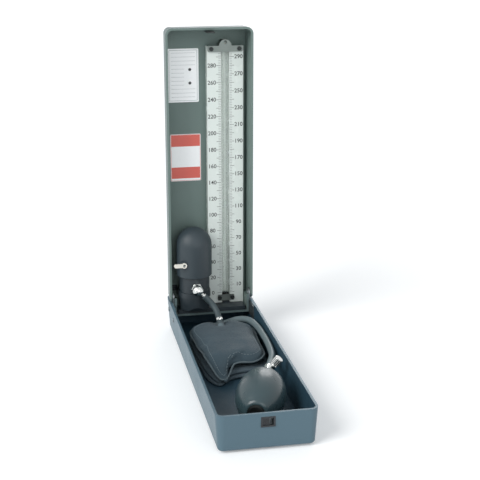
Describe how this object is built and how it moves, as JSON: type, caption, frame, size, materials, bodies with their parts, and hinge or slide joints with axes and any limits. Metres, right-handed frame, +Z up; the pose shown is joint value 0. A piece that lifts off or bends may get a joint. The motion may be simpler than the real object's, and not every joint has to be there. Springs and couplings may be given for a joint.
{
  "type": "mercury sphygmomanometer",
  "caption": "Desk mercury sphygmomanometer: hinged case with glass manometer and reservoir in the lid, and cuff, hoses and squeeze bulb in the tray.",
  "frame": {"origin": "on the table, under the middle of the tray", "axes": "+Z up, +X to the right, -Y towards the front of the tray; the lid stands open at the back, at +Y"},
  "size_m": [0.1002, 0.344, 0.364],
  "materials": {
    "case_plastic": "fine satin texture",
    "foot_rubber": "matt",
    "zinc_steel": "zinc plated",
    "plated_brass": "bright nickel plating",
    "black_plastic": "polished moulded black",
    "ivory_plastic": "smooth",
    "scale_enamel": "white enamel on sheet metal",
    "clear_glass": "clear drawn tube",
    "mercury": "liquid mirror",
    "cup_iron": "black enamel",
    "seal_rubber": "matt",
    "vent_leather": "chamois disc",
    "hose_rubber": "smooth matt latex",
    "bulb_rubber": "smooth gloss",
    "cuff_fabric": "close woven coated cloth",
    "bladder_rubber": "matt"
  },
  "bodies": {
    "base": {"tray_shell": "case_plastic", "rubber_feet": "foot_rubber", "hinge_bracket_left": "zinc_steel", "hinge_bracket_right": "zinc_steel", "hinge_pins": "zinc_steel", "hinge_washers": "zinc_steel", "hinge_rivets": "zinc_steel", "latch_bezel": "black_plastic", "latch_guide": "zinc_steel", "latch_screws": "zinc_steel", "cuff_roll": "cuff_fabric", "inflation_bladder": "bladder_rubber", "cuff_connector": "plated_brass", "bulb_hose": "hose_rubber", "manometer_hose": "hose_rubber", "cuff_tube": "hose_rubber", "squeeze_bulb": "bulb_rubber", "end_valve_body": "plated_brass", "valve_body": "plated_brass", "hose_nipple": "plated_brass"},
    "lid": {"lid_shell": "case_plastic", "lid_striker": "zinc_steel", "striker_screws": "zinc_steel", "scale_plate": "scale_enamel", "glass_tube": "clear_glass", "mercury_column": "mercury", "manometer_base": "cup_iron", "tube_clamp": "plated_brass", "clamp_screws": "plated_brass", "foot_clamp": "plated_brass", "foot_clamp_screws": "plated_brass", "tube_cap": "plated_brass", "vent_disc": "vent_leather", "tube_bottom_gasket": "seal_rubber", "tube_top_gasket": "seal_rubber", "reservoir_cup": "cup_iron", "reservoir_mercury": "mercury", "reservoir_gasket": "seal_rubber", "reservoir_cap": "black_plastic", "reservoir_strap": "zinc_steel", "strap_screws": "zinc_steel", "air_outlet": "plated_brass", "outlet_nut": "plated_brass"},
    "latch": {"latch_slide": "black_plastic"},
    "tap": {"tap_plug": "plated_brass", "shut_off_lever": "ivory_plastic", "lever_screw": "plated_brass"},
    "needle": {"thumb_needle": "plated_brass"},
    "thumb": {"thumb_screw": "plated_brass"},
    "end_ball": {"end_valve_ball": "zinc_steel"},
    "outlet_ball": {"outlet_valve_ball": "zinc_steel"}
  },
  "joints": [
    {"name": "lid_hinge", "type": "hinge", "parent": "base", "child": "lid", "pos_m": [0, 0.1455, 0.0465], "axis": [1, 0, 0], "range_deg": [0, 90], "deforming": ["manometer_hose"]},
    {"name": "latch_slide_travel", "type": "slide", "parent": "base", "child": "latch", "axis": [1, 0, 0], "range_m": [0, 0.0037]},
    {"name": "tap_turn", "type": "hinge", "parent": "lid", "child": "tap", "pos_m": [-0.0344, 0.12671, 0.091], "axis": [0, -1, 0], "range_deg": [0, 90]},
    {"name": "needle_travel", "type": "slide", "parent": "base", "child": "needle", "axis": [-0.5821, 0.2004, -0.788], "range_m": [0, 0.0016]},
    {"name": "thumb_turn", "type": "hinge", "parent": "needle", "child": "thumb", "pos_m": [0.03119, -0.05718, 0.03768], "axis": [-0.5821, 0.2004, -0.788], "range_deg": [0, 720]},
    {"name": "end_ball_travel", "type": "slide", "parent": "base", "child": "end_ball", "axis": [0.3256, 0.9455, 0], "range_m": [0, 0.0008]},
    {"name": "outlet_ball_travel", "type": "slide", "parent": "base", "child": "outlet_ball", "axis": [0.3256, 0.9455, 0], "range_m": [0, 0.0008]}
  ],
  "couplings": [
    {"joint": "thumb_turn", "follows": "needle_travel", "rad_per_m": 7853.9}
  ]
}
